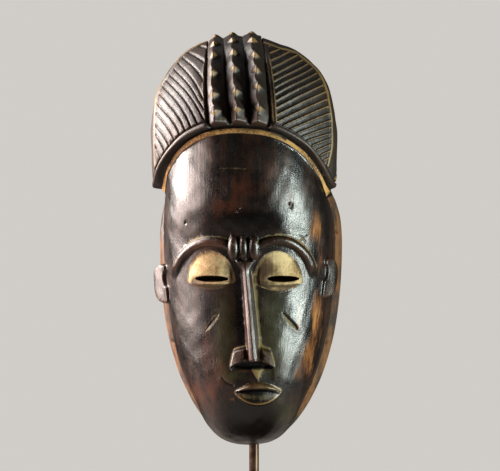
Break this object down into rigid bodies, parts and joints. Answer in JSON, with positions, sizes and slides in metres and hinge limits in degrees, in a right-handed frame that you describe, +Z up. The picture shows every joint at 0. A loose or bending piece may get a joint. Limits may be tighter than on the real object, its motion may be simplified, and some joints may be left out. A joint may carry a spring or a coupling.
{
  "type": "carved mask on a stand",
  "caption": "Long oval carved wooden mask with a studded crest, combed hair lobes, half-moon eyes and a blade nose, held up by a dark steel rod on a black wooden block",
  "frame": {"origin": "centre of the underside of the stand's base, on the floor", "axes": "+Z up, the face looks along -Y, +X to the right of someone looking at the face"},
  "size_m": [0.1524, 0.1254, 0.4548],
  "materials": {
    "carved_wood": "dark oiled patina worn to orange-brown wood, white clay rubbed over the eyes",
    "rod_steel": "dark brown patina, waxed",
    "base_wood": "satin black stain"
  },
  "bodies": {
    "root": {"mask": "carved_wood", "stand_rod": "rod_steel", "stand_base": "base_wood"}
  },
  "joints": []
}
